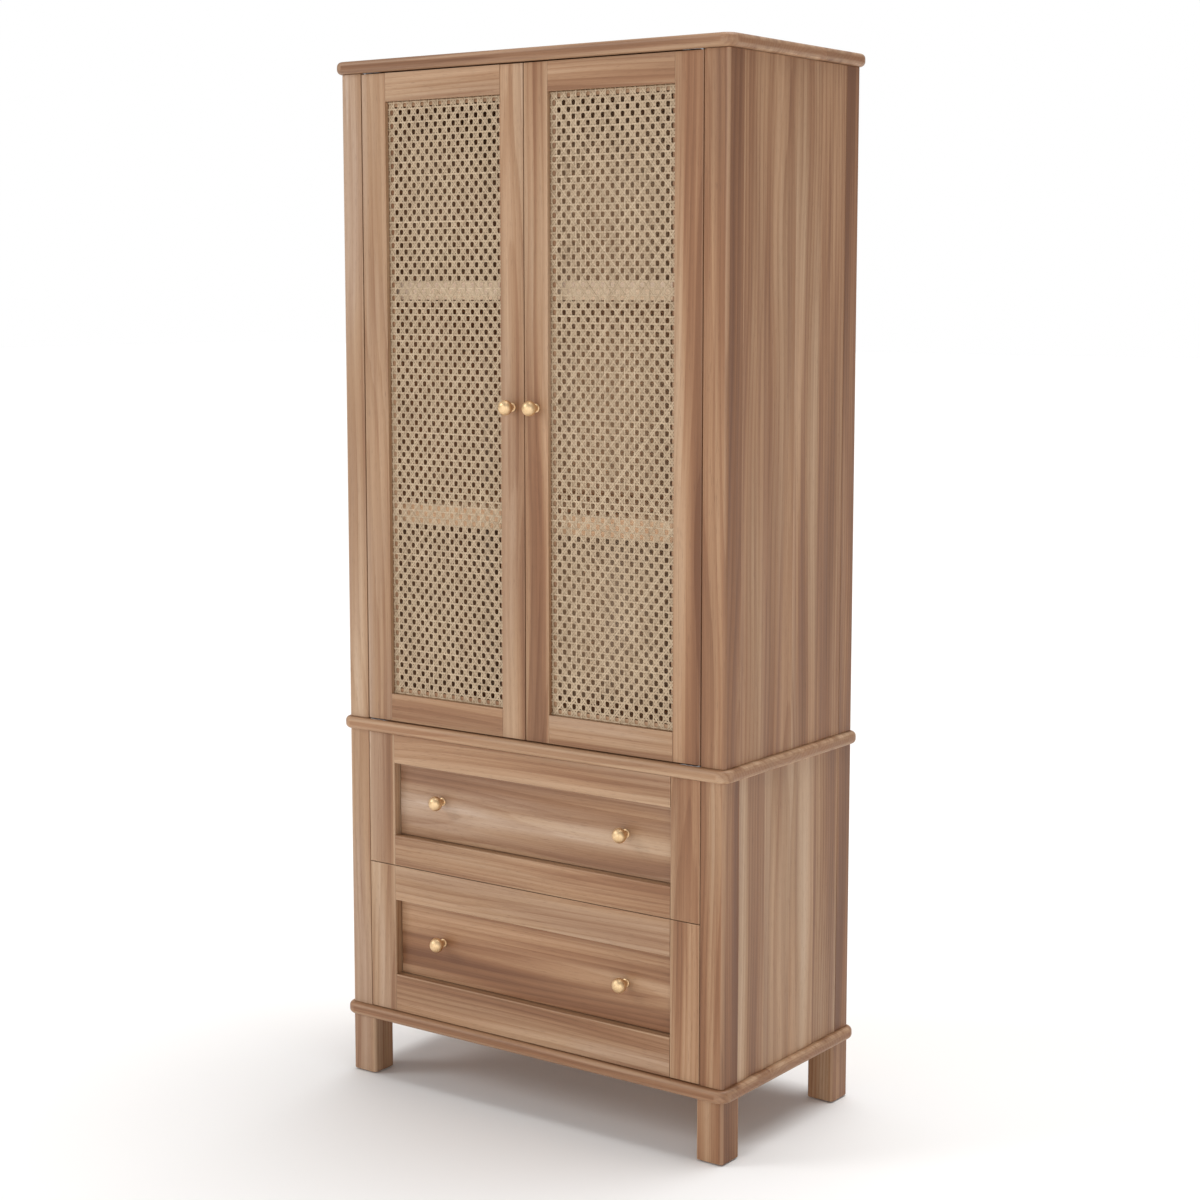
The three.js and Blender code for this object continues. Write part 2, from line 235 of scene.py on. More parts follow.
def wood(name, palette, figure=1.0, roughness=0.5):
    """Streaky satin timber, read from each piece's grain coordinates: across, through and along the board,
    with a painted highlight on its rounded edges.
    """
    graph = Graph(name)
    grain = graph.attribute("grain", "Vector")
    drift = graph.noise(grain, (6.0, 6.0, 1.3), 1.0, "Color")
    drift = graph.vector("SUBTRACT", drift, (0.5, 0.5, 0.5))
    bent = graph.vector("ADD", grain, graph.vector("MULTIPLY", drift, (0.03, 0.03, 0.0)))
    broad = graph.noise(bent, (21.0, 21.0, 0.85), 1.0)
    medium = graph.noise(bent, (80.0, 80.0, 1.2), 1.0)
    fine = graph.noise(bent, (480.0, 480.0, 2.6), 2.5)
    fleck = graph.noise(bent, (1500.0, 1500.0, 48.0), 1.0)
    # Growth rings: distance from the tree's heart, in a trunk that tapers slowly, which gives tall arches
    heart = graph.vector("LENGTH", graph.vector("MULTIPLY", bent, (1.0, 1.0, 0.0)))
    taper = graph.sum("MULTIPLY", graph.part(grain, 2), 1.3)
    turns = graph.sum("ADD", graph.sum("MULTIPLY", heart, 150.0), taper)
    ring = graph.sum("FRACT", graph.sum("ADD", turns, graph.sum("MULTIPLY", medium, 0.7)))
    late_wood = graph.sum("MULTIPLY", graph.range(ring, 0.35, 0.9), graph.range(ring, 1.0, 0.93))
    pores = graph.range(fleck, 0.6, 0.74)

    shade = 0.5
    for source, weight in ((broad, 1.25 * figure), (medium, 0.5 * figure), (fine, 0.3)):
        centred = graph.sum("SUBTRACT", source, 0.5)
        shade = graph.sum("ADD", graph.sum("MULTIPLY", centred, weight), shade)
    shade = graph.sum("SUBTRACT", shade, graph.sum("MULTIPLY", late_wood, 0.11 * figure))
    end = graph.attribute("end")
    sawn = graph.sum("SUBTRACT", 0.42, graph.sum("MULTIPLY", late_wood, 0.07))
    sawn = graph.sum("ADD", sawn, graph.range(fleck, 0.3, 0.7, -0.05, 0.05))
    shade = graph.sum("ADD", graph.blend(end, shade, sawn), graph.attribute("tone"), clamp=True)
    places = (0.0, 0.28, 0.5, 0.72, 1.0)
    colour = graph.ramp(shade, [(place, srgb(*shown)) for place, shown in zip(places, palette)])

    hue = graph.noise(bent, (17.0, 17.0, 1.6), 2.0)
    hue = graph.range(hue, 0.34, 0.66, 0.2, 0.8)
    hue = graph.sum("ADD", hue, graph.attribute("warmth"), clamp=True)
    tint = graph.ramp(
        hue,
        [(0.0, (1.0, 1.05, 1.17, 1.0)), (0.4, (1.0, 1.0, 0.985, 1.0)), (1.0, (1.04, 0.98, 0.92, 1.0))],
    )
    colour = graph.mix(1.0, colour, tint, "MULTIPLY")
    colour = graph.mix(graph.sum("MULTIPLY", pores, 0.34), colour, srgb(92, 62, 44))
    # Rounded edges are painted paler towards (206, 176, 146): a painted highlight along every eased edge
    painted_edge_highlight = graph.sum("MULTIPLY", graph.attribute("edge"), graph.range(medium, 0.3, 0.7, 0.12, 0.5))
    colour = graph.mix(graph.sum("MULTIPLY", painted_edge_highlight, 0.55), colour, srgb(206, 176, 146))

    gloss = graph.range(medium, 0.3, 0.7, roughness - 0.06, roughness + 0.07)
    gloss = graph.sum("ADD", gloss, graph.sum("MULTIPLY", pores, 0.12))
    height = graph.sum("SUBTRACT", graph.sum("MULTIPLY", fine, 0.5), graph.sum("MULTIPLY", pores, 0.6))
    height = graph.sum("SUBTRACT", height, graph.sum("MULTIPLY", late_wood, 0.15))
    graph.bump(height, 0.22 * MM, 0.55)
    graph.set(Base_Color=colour, Roughness=gloss, Specular_IOR_Level=0.42)
    graph.set(Coat_Weight=0.08, Coat_Roughness=0.3)
    return graph.material


def cane():
    """Split rattan skin: pale, faintly glossy, with fibres along each strand and painted shade along its
    edges.
    """
    graph = Graph("woven_cane")
    grain = graph.attribute("grain", "Vector")
    fibre = graph.noise(grain, (2600.0, 900.0, 26.0), 2.0)
    patch = graph.noise(grain, (0.0, 300.0, 7.0), 2.0)
    knot = graph.range(graph.noise(grain, (0.0, 500.0, 60.0), 0.0), 0.68, 0.76)
    shade = graph.sum("ADD", graph.sum("MULTIPLY", fibre, 0.45), graph.sum("MULTIPLY", patch, 0.75))
    shade = graph.sum("ADD", shade, graph.attribute("tone"), clamp=True)
    colour = graph.ramp(
        shade,
        [
            (0.25, srgb(144, 121, 94)),
            (0.5, srgb(172, 149, 121)),
            (0.68, srgb(186, 163, 134)),
            (0.9, srgb(202, 180, 151)),
        ],
    )
    colour = graph.mix(graph.sum("MULTIPLY", knot, 0.4), colour, srgb(118, 90, 60))
    # Each strand is painted darker towards its two edges: painted shade along the sides of the rounded skin
    out = graph.sum("ABSOLUTE", graph.part(grain, 0))
    painted_edge_shade = graph.range(out, 0.3 * STRAND_WIDTH, 0.5 * STRAND_WIDTH)
    colour = graph.mix(graph.sum("MULTIPLY", painted_edge_shade, 0.35), colour, srgb(122, 96, 68))
    graph.bump(fibre, 0.12 * MM, 0.6)
    gloss = graph.range(patch, 0.3, 0.7, 0.36, 0.5)
    graph.set(Base_Color=colour, Roughness=gloss, Specular_IOR_Level=0.4)
    return graph.material


def metal(name, light, dark, roughness):
    """Metal with fine turning or rolling marks and some duller patches."""
    graph = Graph(name)
    place = graph.attribute("grain", "Vector")
    marks = graph.noise(place, (900.0, 900.0, 60.0), 3.0)
    patch = graph.noise(place, (120.0, 120.0, 120.0), 2.0)
    share = graph.sum("ADD", graph.sum("MULTIPLY", marks, 0.45), graph.sum("MULTIPLY", patch, 0.55))
    colour = graph.mix(graph.range(share, 0.35, 0.65), dark, light)
    gloss = graph.range(patch, 0.3, 0.7, roughness - 0.05, roughness + 0.09)
    graph.bump(marks, 0.05 * MM, 0.5)
    graph.set(Base_Color=colour, Roughness=gloss, Metallic=1.0)
    return graph.material


def moulded_plastic(name, colour, darker):
    """Moulded plastic with a fine spark-eroded texture."""
    graph = Graph(name)
    place = graph.attribute("grain", "Vector")
    texture = graph.noise(place, (2200.0, 2200.0, 2200.0), 2.0)
    cloud = graph.noise(place, (60.0, 60.0, 60.0), 2.0)
    graph.bump(texture, 0.06 * MM, 0.5)
    gloss = graph.range(cloud, 0.3, 0.7, 0.42, 0.56)
    graph.set(Base_Color=graph.mix(graph.range(cloud, 0.3, 0.7), darker, colour), Roughness=gloss)
    return graph.material


FRONT_PALETTE = ((110, 71, 44), (139, 99, 69), (163, 127, 96), (181, 149, 120), (197, 170, 145))
INNER_PALETTE = ((184, 146, 112), (208, 172, 137), (223, 191, 157), (233, 206, 174), (241, 219, 190))
BACK_PALETTE = ((152, 116, 86), (178, 143, 111), (197, 164, 131), (210, 180, 148), (220, 193, 164))

front_wood = wood("front_wood", FRONT_PALETTE)
inner_wood = wood("inner_wood", INNER_PALETTE, 0.6, 0.56)
back_wood = wood("back_wood", BACK_PALETTE, 0.7, 0.62)
cane_skin = cane()
brass = metal("satin_brass", srgb(238, 208, 166), srgb(224, 190, 144), 0.46)
steel = metal("zinc_steel", srgb(196, 198, 200), srgb(150, 152, 156), 0.34)
catch_plastic = moulded_plastic("catch_plastic", srgb(226, 222, 212), srgb(212, 207, 196))
glide_plastic = moulded_plastic("glide_plastic", srgb(70, 62, 56), srgb(52, 46, 42))

# ----------------------------------------------------------------------------------------------------
# Mesh work
# ----------------------------------------------------------------------------------------------------


def add_piece(name, mesh, material, body, replaced=()):
    """Puts a finished mesh into the scene as a piece of the armoire."""
    mesh.materials.append(material)
    piece = bpy.data.objects.new(name, mesh)
    bpy.context.scene.collection.objects.link(piece)
    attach(piece, body)
    if replaced:
        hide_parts(*replaced)
    return piece


def even_shading(piece):
    """Keeps flat faces flat between softly rounded edges."""
    for polygon in piece.data.polygons:
        polygon.use_smooth = True
    weighted = piece.modifiers.new("even_shading", "WEIGHTED_NORMAL")
    weighted.keep_sharp = False
    weighted.weight = 80


def block(lo, hi):
    """A box as an edit mesh."""
    shape = bmesh.new()
    bmesh.ops.create_cube(shape, size=1.0)
    for vertex in shape.verts:
        vertex.co = Vector(lo[k] if vertex.co[k] < 0 else hi[k] for k in range(3))
    return shape


def edges_along(shape, axis, lo, hi, sides):
    """The straight edges that run along an axis on all the given sides, each an (axis, LOW or HIGH) pair."""
    chosen = []
    for edge in shape.edges:
        start, end = (vertex.co for vertex in edge.verts)
        if abs((end - start).normalized()[axis]) < 0.999:
            continue
        if all(abs(start[k] - (hi if side else lo)[k]) < 1e-6 for k, side in sides):
            chosen.append(edge)
    return chosen


def round_off(shape, edges, radius, segments):
    bmesh.ops.bevel(
        shape, geom=edges, offset=radius, offset_type="OFFSET", segments=segments, profile=0.5,
        affect="EDGES", clamp_overlap=True,
    )


def sharp_edges(shape):
    return [edge for edge in shape.edges if edge.is_manifold and edge.calc_face_angle() > 1.0]


def band_value(bands, share, column):
    """The value at a share of the board's width, between the bands on either side of it."""
    before = bands[0]
    for after in bands:
        if share <= after[0]:
            reach = after[0] - before[0]
            along = (share - before[0]) / reach if reach else 1.0
            return before[column] + (after[column] - before[column]) * along
        before = after
    return bands[-1][column]


PLAIN = ((0.0, 0.0, 0.0), (1.0, 0.0, 0.0))
UNSTAINED = 0.32


def store(mesh, domain, values):
    """Writes named attributes, the grain as vectors and the rest as numbers."""
    for name, numbers in values.items():
        kind, field = ("FLOAT_VECTOR", "vector") if name == "grain" else ("FLOAT", "value")
        mesh.attributes.new(name, kind, domain).data.foreach_set(field, numbers)


def write_grain(mesh, lo, hi, along, name, bands=PLAIN, stave=None, contrast=0.12, pale=None):
    """Gives a mesh the grain coordinates, tone and warmth of its board, or of each stave glued up into it.

    pale is the axis and side of a face that is left unstained.
    """
    size = hi - lo
    across, through = sorted((k for k in range(3) if k != along), key=lambda k: -size[k])
    chance = random.Random(name)
    staves = max(1, round(size[across] / stave)) if stave else 1
    width = size[across] / staves
    boards = [
        {
            "heart": (chance.uniform(-0.06, 0.06), chance.choice((-1, 1)) * chance.uniform(0.03, 0.12)),
            "start": chance.uniform(0, 40),
            "tone": chance.uniform(-1, 1) * contrast if stave else 0.0,
            "warmth": chance.uniform(-3, 3) * contrast if stave else 0.0,
        }
        for _ in range(staves)
    ]
    middle = (lo + hi) / 2
    values = {"grain": [], "tone": [], "warmth": [], "edge": [], "end": []}
    for polygon in mesh.polygons:
        end = 1.0 if abs(polygon.normal[along]) > 0.8 else 0.0
        lift = 0.0
        if pale and polygon.normal[pale[0]] * (1 if pale[1] else -1) > 0.8:
            lift = UNSTAINED
        number = min(staves - 1, max(0, int((polygon.center[across] - lo[across]) / width)))
        board = boards[number]
        for corner in polygon.vertices:
            point = mesh.vertices[corner].co
            share = (point[across] - lo[across]) / size[across]
            inset = min(min(point[k] - lo[k], hi[k] - point[k]) for k in range(3))
            values["grain"] += (
                point[across] - middle[across] + board["heart"][0],
                point[through] - middle[through] + board["heart"][1],
                point[along] + board["start"],
            )
            values["tone"].append(board["tone"] + band_value(bands, share, 1) + lift)
            values["warmth"].append(board["warmth"] + band_value(bands, share, 2))
            # Marks the rounded edges, which the wood material paints paler as a painted highlight
            values["edge"].append(1.0 if inset > 1e-5 else 0.0)
            values["end"].append(end)
    store(mesh, "CORNER", values)


def board_mesh(
    name, lo, hi, along, rounds=(), radius=EASED, segments=3, stave=None, bands=PLAIN, **tones
):
    """A board with rounded edges. rounds lists the larger ones: axis, sides, radius and segments of each."""
    shape = block(lo, hi)
    for axis, sides, larger, steps in rounds:
        round_off(shape, edges_along(shape, axis, lo, hi, sides), larger, steps)
    round_off(shape, sharp_edges(shape), radius, segments)
    size = hi - lo
    across = max((k for k in range(3) if k != along), key=lambda k: size[k])
    cuts = {share for share, _, _ in bands if 0 < share < 1}
    if stave:
        staves = max(1, round(size[across] / stave))
        cuts |= {number / staves for number in range(1, staves)}
    for share in sorted(cuts):
        at = Vector(lo)
        at[across] += share * size[across]
        normal = Vector((0, 0, 0))
        normal[across] = 1
        everything = shape.verts[:] + shape.edges[:] + shape.faces[:]
        bmesh.ops.bisect_plane(shape, geom=everything, plane_co=at, plane_no=normal)
    bmesh.ops.recalc_face_normals(shape, faces=shape.faces[:])
    mesh = bpy.data.meshes.new(name)
    shape.to_mesh(mesh)
    shape.free()
    write_grain(mesh, lo, hi, along, name, bands, stave, **tones)
    return mesh


def timber(node, along, material=None, slot="wood", box=None, name=None, **shape):
    """Stands a finished board in for a CAD node, or for the part of it that box gives."""
    lo, hi = (Vector(corner) for corner in (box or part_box(node)))
    name = name or node + "_timber"
    mesh = board_mesh(name, lo, hi, along, **shape)
    piece = add_piece(name, mesh, material or front_wood, body_of(node), (node,))
    even_shading(piece)
    return piece


def fitting(name, lo, hi, body, material, radius=EASED, rounds=(), along=X, replaced=()):
    """A small bevelled block of hardware or trim that has no CAD node of its own."""
    mesh = board_mesh(name, Vector(lo), Vector(hi), along, rounds, radius)
    piece = add_piece(name, mesh, material, body, replaced)
    even_shading(piece)
    return piece


def turned_mesh(name, profile, steps=40):
    """A closed shape turned about Z. A profile point is a radius, a height and its flats, 0 for round."""
    shape = bmesh.new()
    rings = []
    for radius, height, flats in profile:
        ring = []
        for step in range(steps):
            angle = 2 * math.pi * step / steps
            reach = radius
            if flats:
                sector = math.pi / flats
                reach = radius * math.cos(sector) / math.cos(angle % (2 * sector) - sector)
            ring.append(shape.verts.new((reach * math.cos(angle), reach * math.sin(angle), height)))
        rings.append(ring)
    for lower, upper in zip(rings, rings[1:]):
        for step in range(steps):
            after = (step + 1) % steps
            shape.faces.new((lower[step], lower[after], upper[after], upper[step]))
    shape.faces.new(reversed(rings[0]))
    shape.faces.new(rings[-1])
    bmesh.ops.recalc_face_normals(shape, faces=shape.faces[:])
    mesh = bpy.data.meshes.new(name)
    shape.to_mesh(mesh)
    shape.free()
    seed = random.Random(name).uniform(0, 9)
    grain = []
    for vertex in mesh.vertices:
        around = math.atan2(vertex.co.y, vertex.co.x) * 0.004
        grain += (math.hypot(vertex.co.x, vertex.co.y) + seed, vertex.co.z, around)
    store(mesh, "POINT", {"grain": grain})
    return mesh


def turned(name, profile, base, direction, body, material, steps=40, crease=0.9, replaced=()):
    """A turned piece whose foot is at base and whose axis points along direction."""
    mesh = turned_mesh(name, profile, steps)
    turn = Vector(direction).to_track_quat("Z", "Y").to_matrix().to_4x4()
    mesh.transform(Matrix.Translation(base) @ turn)
    for polygon in mesh.polygons:
        polygon.use_smooth = True
    mesh.set_sharp_from_angle(angle=crease)
    return add_piece(name, mesh, material, body, replaced)


def socket_screw(name, base, direction, body, radius):
    """A low screw head with a hexagon socket."""
    rise = 0.24 * radius
    profile = (
        (radius, -0.3 * radius, 0),
        (radius, 0.3 * rise, 0),
        (0.9 * radius, 0.85 * rise, 0),
        (0.74 * radius, rise, 0),
        (0.5 * radius, rise, 6),
        (0.46 * radius, 0.8 * rise, 6),
        (0.44 * radius, -0.25 * radius, 6),
    )
    return turned(name, profile, base, direction, body, steel, 24, 0.6)


# ----------------------------------------------------------------------------------------------------
# Carcass
# ----------------------------------------------------------------------------------------------------


def make_boards():
    """The cornice, waist and base boards, with rounded noses all round."""
    corners = (
        (Z, ((X, LOW), (Y, LOW)), BOARD_CORNER, 10),
        (Z, ((X, HIGH), (Y, LOW)), BOARD_CORNER, 10),
        (Z, ((X, LOW), (Y, HIGH)), BOARD_CORNER, 10),
        (Z, ((X, HIGH), (Y, HIGH)), BOARD_CORNER, 10),
    )
    tones = {"cornice_board": -0.1, "waist_board": -0.08, "base_board": -0.1}
    for node, tone in tones.items():
        bands = ((0.0, tone, 0.2), (1.0, tone, 0.2))
        timber(node, X, rounds=corners, radius=NOSE, segments=5, bands=bands, stave=0.14, contrast=0.04)


# Tone and warmth across each post's and leg's width. The left ones are toned lighter and the right ones
# darker: partly the wood's own tone, partly painted light, brighter on the left as though lit from that side
POST_BANDS = {
    "left": ((0.0, 0.08, -0.4), (0.45, 0.1, -0.4), (0.8, 0.04, -0.2), (1.0, 0.02, -0.1)),
    "right": ((0.0, -0.2, 0.6), (0.25, -0.12, 0.3), (0.55, -0.04, 0.0), (0.8, -0.1, 0.2), (1.0, -0.24, 0.5)),
}


def make_posts():
    """The eight corner posts, each rounded on its outer edge, and the four legs."""
    for side, x_side in (("left", LOW), ("right", HIGH)):
        for end, y_side in (("front", LOW), ("rear", HIGH)):
            outer = ((Z, ((X, x_side), (Y, y_side)), POST_CORNER, 5),)
            for level in ("lower", "upper"):
                node = f"{level}_post_{end}_{side}"
                timber(node, Z, rounds=outer, bands=POST_BANDS[side])
            leg = f"leg_{end}_{side}"
            lo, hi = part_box(leg)
            raised = (lo + Vector((0, 0, GLIDE_HEIGHT)), hi)
            upright = tuple(
                (Z, ((X, a), (Y, b)), LEG_CORNER, 5) for a in (LOW, HIGH) for b in (LOW, HIGH)
            )
            timber(leg, Z, box=raised, rounds=upright, radius=1.8 * MM, bands=POST_BANDS[side])
            foot = Vector(((lo.x + hi.x) / 2, (lo.y + hi.y) / 2, lo.z))
            profile = (
                (GLIDE_RADIUS * 0.94, 0.0, 0),
                (GLIDE_RADIUS, 0.0006, 0),
                (GLIDE_RADIUS, GLIDE_HEIGHT + 0.0006, 0),
            )
            turned(f"glide_{end}_{side}", profile, foot, (0, 0, 1), "carcass", glide_plastic)


SIDE_BANDS = {
    "lower": ((0.0, 0.04, 0.1), (1.0, 0.04, 0.1)),
    "upper": ((0.0, 0.05, 0.4), (0.2, -0.08, 0.5), (0.45, -0.06, 0.5), (0.8, -0.17, 0.5), (1.0, -0.1, 0.3)),
}


def make_side_panels():
    """Side panels glued up from upright staves."""
    for level in ("lower", "upper"):
        for side, inside in (("left", (X, HIGH)), ("right", (X, LOW))):
            node = f"{level}_side_panel_{side}"
            timber(
                node, Z, radius=BUTT_EASED, stave=0.085, contrast=0.06, bands=SIDE_BANDS[level],
                pale=inside,
            )


def make_back():
    """Thin back boards, screwed to the posts and boards round their edges."""
    inset = BACK_SCREW_INSET
    for level, rows in (("lower", 3), ("upper", 5)):
        node = f"{level}_back_panel"
        timber(node, Z, material=back_wood, slot="back_wood", radius=BUTT_EASED)
        lo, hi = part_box(node)
        for column, x in (("left", lo.x + inset), ("middle", 0.0), ("right", hi.x - inset)):
            for row in range(rows):
                z = lo.z + inset + (hi.z - lo.z - 2 * inset) * row / (rows - 1)
                if column == "middle" and 0 < row < rows - 1:
                    continue
                name = f"{level}_back_screw_{column}_{row}"
                socket_screw(name, (x, hi.y, z), (0, 1, 0), "carcass", BACK_SCREW_RADIUS)


def make_shelves():
    """Two shelves on steel pins."""
    for node in ("lower_shelf", "upper_shelf"):
        bands = ((0.0, 0.06, 0.0), (1.0, 0.06, 0.0))
        timber(node, X, material=inner_wood, slot="inner_wood", radius=2 * MM, bands=bands, stave=0.11)
        lo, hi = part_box(node)
        for side, x, way in (("left", lo.x, 1), ("right", hi.x, -1)):
            for end, y in (("front", lo.y + SHELF_PIN_INSET), ("rear", hi.y - SHELF_PIN_INSET)):
                profile = (
                    (SHELF_PIN_RADIUS, -1.0 * MM, 0),
                    (SHELF_PIN_RADIUS, 8.4 * MM, 0),
                    (SHELF_PIN_RADIUS * 0.7, 9.2 * MM, 0),
                )
                base = (x, y, lo.z - SHELF_PIN_RADIUS)
                name = f"{node}_pin_{end}_{side}"
                turned(name, profile, base, (way, 0, 0), "carcass", steel, 20)


def make_runners():
    """The four wooden drawer runners."""
    for drawer in ("upper", "lower"):
        for side in ("left", "right"):
            node = f"{drawer}_drawer_runner_{side}"
            timber(node, Y, material=inner_wood, slot="inner_wood", radius=BUTT_EASED)


# ----------------------------------------------------------------------------------------------------
# Doors
# ----------------------------------------------------------------------------------------------------

# The right door's stiles are toned darker than the left door's: partly the wood's own tone, partly painted
# shade, darker to the right as though lit from the left
DOOR_BANDS = {
    "left_door_hinge_stile": ((0.0, 0.06, -0.3), (0.3, -0.08, 0.1), (0.7, -0.03, 0.0), (1.0, 0.04, -0.2)),
    "left_door_meeting_stile": ((0.0, -0.02, 0.0), (0.35, 0.04, 0.0), (0.6, 0.07, -0.1), (1.0, -0.02, 0.0)),
    "right_door_meeting_stile": ((0.0, -0.12, 0.1), (0.35, -0.14, 0.0), (0.5, -0.26, 0.3), (1.0, -0.14, 0.4)),
    "right_door_hinge_stile": (
        (0.0, 0.06, 0.1), (0.25, 0.02, 0.3), (0.45, -0.22, 0.8), (0.85, -0.2, 0.7), (1.0, -0.26, 0.5),
    ),
}


def strand_points(events, start, finish):
    """The places along a strand where it is highest or lowest, kept between its two ends."""
    inside = [(place, rise) for place, rise in events if start < place < finish]
    if not inside:
        return [(start, 0.0), (finish, 0.0)]
    return [(start, 0.0), *inside, (finish, 0.0)]


def crossings(first, period, offset, signs, start, finish):
    """Rises and dips at offset before and after every period, from the first one, with repeating signs."""
    events = []
    count = int((start - first) / period) - 2
    while first + count * period < finish + period:
        middle = first + count * period
        for number, place in enumerate((middle - offset, middle + offset)):
            events.append((place, STRAND_RISE * signs[(2 * count + number) % len(signs)]))
        count += 1
    return sorted(events)


class Weave:
    """Gathers strands into one mesh. A strand has a rounded skin in front and a flat back."""

    def __init__(self, name, face_y):
        self.name = name
        self.face_y = face_y
        self.points = []
        self.faces = []
        self.grain = []
        self.tone = []
        self.chance = random.Random(name)

    def strand(self, origin, direction, stations):
        """A strand from origin along direction, both (x, z), through stations of distance and height."""
        side = (-direction[1], direction[0])
        half, thick = STRAND_WIDTH / 2, STRAND_THICKNESS
        section = (
            (-half, -0.12 * thick), (-0.56 * half, 0.34 * thick), (0.56 * half, 0.34 * thick),
            (half, -0.12 * thick), (0.0, -0.5 * thick),
        )
        seed = self.chance.uniform(0, 50)
        tone = self.chance.uniform(-0.16, 0.16)
        first = len(self.points)
        for distance, height in stations:
            for across, out in section:
                x = origin[0] + direction[0] * distance + side[0] * across
                z = origin[1] + direction[1] * distance + side[1] * across
                self.points.append((x, self.face_y - height - out, z))
                self.grain += (across, seed, distance)
                self.tone.append(tone)
        count = len(section)
        for number in range(len(stations) - 1):
            here = first + number * count
            there = here + count
            for corner in range(count):
                after = (corner + 1) % count
                self.faces.append((here + corner, here + after, there + after, there + corner))
        last = first + (len(stations) - 1) * count
        self.faces.append(tuple(first + corner for corner in reversed(range(count))))
        self.faces.append(tuple(last + corner for corner in range(count)))

    def finish(self, body, node):
        mesh = bpy.data.meshes.new(self.name)
        mesh.from_pydata(self.points, [], self.faces)
        shape = bmesh.new()
        shape.from_mesh(mesh)
        bmesh.ops.recalc_face_normals(shape, faces=shape.faces[:])
        shape.to_mesh(mesh)
        shape.free()
        store(mesh, "POINT", {"grain": self.grain, "tone": self.tone})
        mesh.polygons.foreach_set("use_smooth", [True] * len(mesh.polygons))
        mesh.set_sharp_from_angle(angle=1.4)
        return add_piece(self.name, mesh, cane_skin, body, (node,))


def weave_uprights(weave, lo, hi, middle):
    """Upright strands: over the rising pairs and under the falling ones."""
    reach = PAIR_OFFSET * math.hypot(HALF_STEP_ACROSS, HALF_STEP_UP) / HALF_STEP_ACROSS
    columns = int((hi.x - lo.x) / 2 / HALF_STEP_ACROSS) + 1
    for column in range(-columns, columns):
        x = middle[0] + (column + 0.5) * HALF_STEP_ACROSS
        if not lo.x + STRAND_WIDTH / 2 < x < hi.x - STRAND_WIDTH / 2:
            continue
        first = middle[1] + 0.5 * HALF_STEP_UP
        sign = 1 if column % 2 else -1
        signs = (sign, sign, -sign, -sign)
        events = crossings(first, HALF_STEP_UP, reach, signs, lo.z, hi.z)
        weave.strand((x, 0.0), (0.0, 1.0), strand_points(events, lo.z, hi.z))


def weave_crossways(weave, lo, hi, middle):
    """Level strands: under the rising pairs and over the falling ones."""
    reach = PAIR_OFFSET * math.hypot(HALF_STEP_ACROSS, HALF_STEP_UP) / HALF_STEP_UP
    rows = int((hi.z - lo.z) / 2 / HALF_STEP_UP) + 1
    for row in range(-rows, rows):
        z = middle[1] + (row + 0.5) * HALF_STEP_UP
        if not lo.z + STRAND_WIDTH / 2 < z < hi.z - STRAND_WIDTH / 2:
            continue
        first = middle[0] + 0.5 * HALF_STEP_ACROSS
        sign = -1 if row % 2 else 1
        signs = (sign, sign, -sign, -sign)
        events = crossings(first, HALF_STEP_ACROSS, reach, signs, lo.x, hi.x)
        weave.strand((0.0, z), (1.0, 0.0), strand_points(events, lo.x, hi.x))


def weave_diagonals(weave, lo, hi, middle, slope):
    """Pairs of diagonals, rising to the right with slope 1 or falling with slope -1, woven over and under."""
    length = math.hypot(HALF_STEP_ACROSS, HALF_STEP_UP)
    direction = (HALF_STEP_ACROSS / length, slope * HALF_STEP_UP / length)
    side = (-direction[1] * slope, direction[0] * slope)
    reach = PAIR_OFFSET / math.sin(2 * math.atan2(HALF_STEP_UP, HALF_STEP_ACROSS))
    edge = 0.5 * STRAND_WIDTH
    count = int(((hi.x - lo.x) / HALF_STEP_ACROSS + (hi.z - lo.z) / HALF_STEP_UP) / 4) + 2
    for number in range(-count, count + 1):
        # Every pair's middle line passes the level through the panel's middle at an odd number of half steps
        base = (middle[0] + (2 * number + 1) * HALF_STEP_ACROSS, middle[1])
        for offset in (-PAIR_OFFSET, PAIR_OFFSET):
            origin = (base[0] + side[0] * offset, base[1] + side[1] * offset)
            reaches = []
            for k, low, high in ((0, lo.x + edge, hi.x - edge), (1, lo.z + edge, hi.z - edge)):
                ends = ((low - origin[k]) / direction[k], (high - origin[k]) / direction[k])
                reaches.append((min(ends), max(ends)))
            start = max(near for near, _ in reaches)
            finish = min(far for _, far in reaches)
            if finish - start < SHORTEST_STRAND:
                continue
            sign = 1 if offset > 0 else -1
            events = crossings(0.0, length / 2, reach, (sign, -sign), start, finish)
            weave.strand(origin, direction, strand_points(events, start, finish))


def make_cane(door):
    """Woven cane in a door's opening, in four sets of strands."""
    node = f"{door}_cane_panel"
    lo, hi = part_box(node)
    middle = ((lo.x + hi.x) / 2, (lo.z + hi.z) / 2)
    face_y = (lo.y + hi.y) / 2
    sets = (
        ("uprights", weave_uprights, ()),
        ("crossways", weave_crossways, ()),
        ("rising", weave_diagonals, (1,)),
        ("falling", weave_diagonals, (-1,)),
    )
    for name, lay, settings in sets:
        weave = Weave(f"{door}_cane_{name}", face_y)
        lay(weave, lo, hi, middle, *settings)
        strands = weave.finish(door, node)
        # Light soaks through the thin strands, so they cast no shadow into the cabinet
        strands.visible_shadow = False


